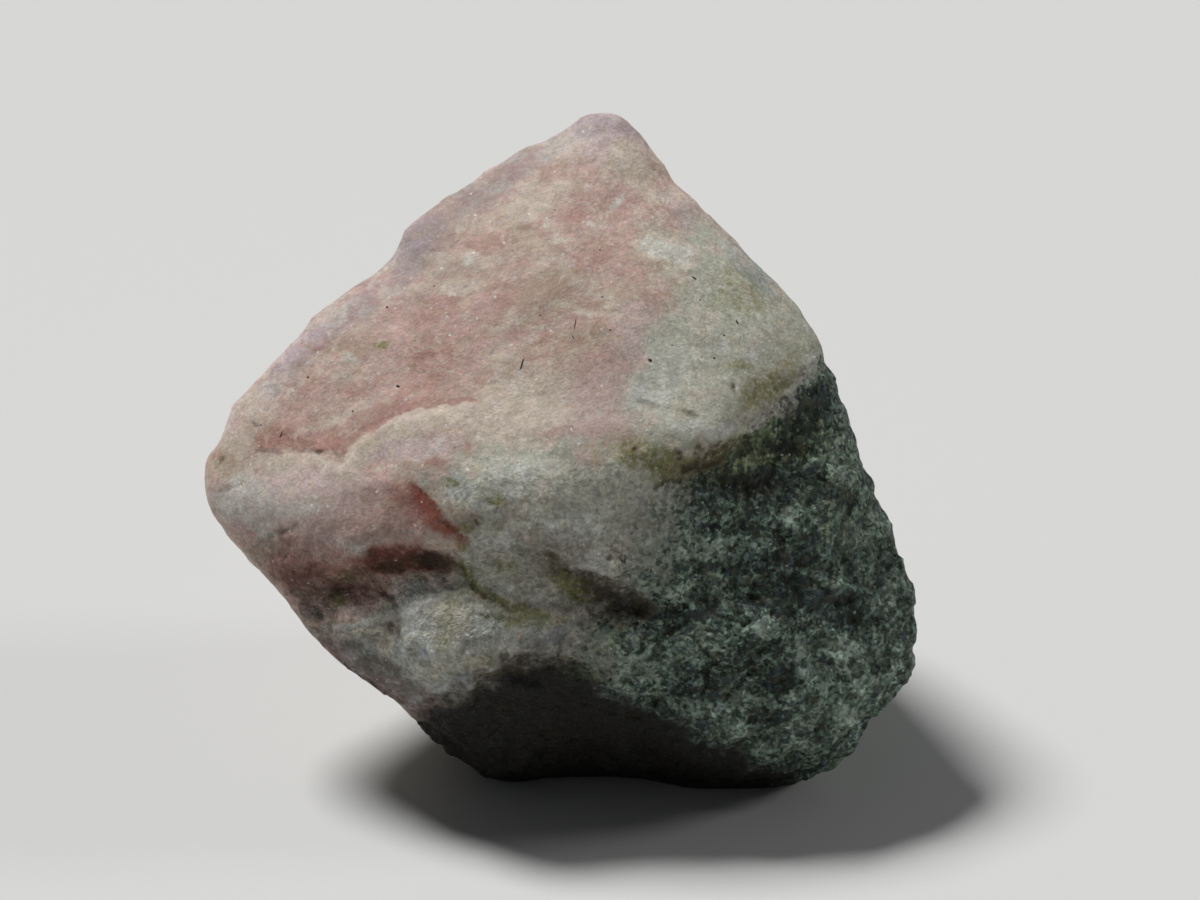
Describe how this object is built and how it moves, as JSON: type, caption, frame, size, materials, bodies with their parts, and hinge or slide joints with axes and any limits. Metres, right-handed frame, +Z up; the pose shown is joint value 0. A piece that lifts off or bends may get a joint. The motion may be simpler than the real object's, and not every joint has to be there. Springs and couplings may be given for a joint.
{
  "type": "tugtupite specimen",
  "caption": "Broken chunk of pink and white rock with a dark green-grey patch, leaning back on a flat fracture face; a mineral specimen for display.",
  "frame": {"origin": "middle of the bounding box's bottom, on the surface the stone rests on", "axes": "+Z up, +X to the right across the widest side, -Y towards the side with the pink, white and dark faces that is shown"},
  "size_m": [0.0238, 0.0162, 0.0206],
  "materials": {
    "tugtupite_rock": "matt broken rock with a faintly waxy, sugary grain: pink and cream-white, dark green-grey at one side"
  },
  "bodies": {
    "root": {"tugtupite_stone": "tugtupite_rock"}
  },
  "joints": []
}
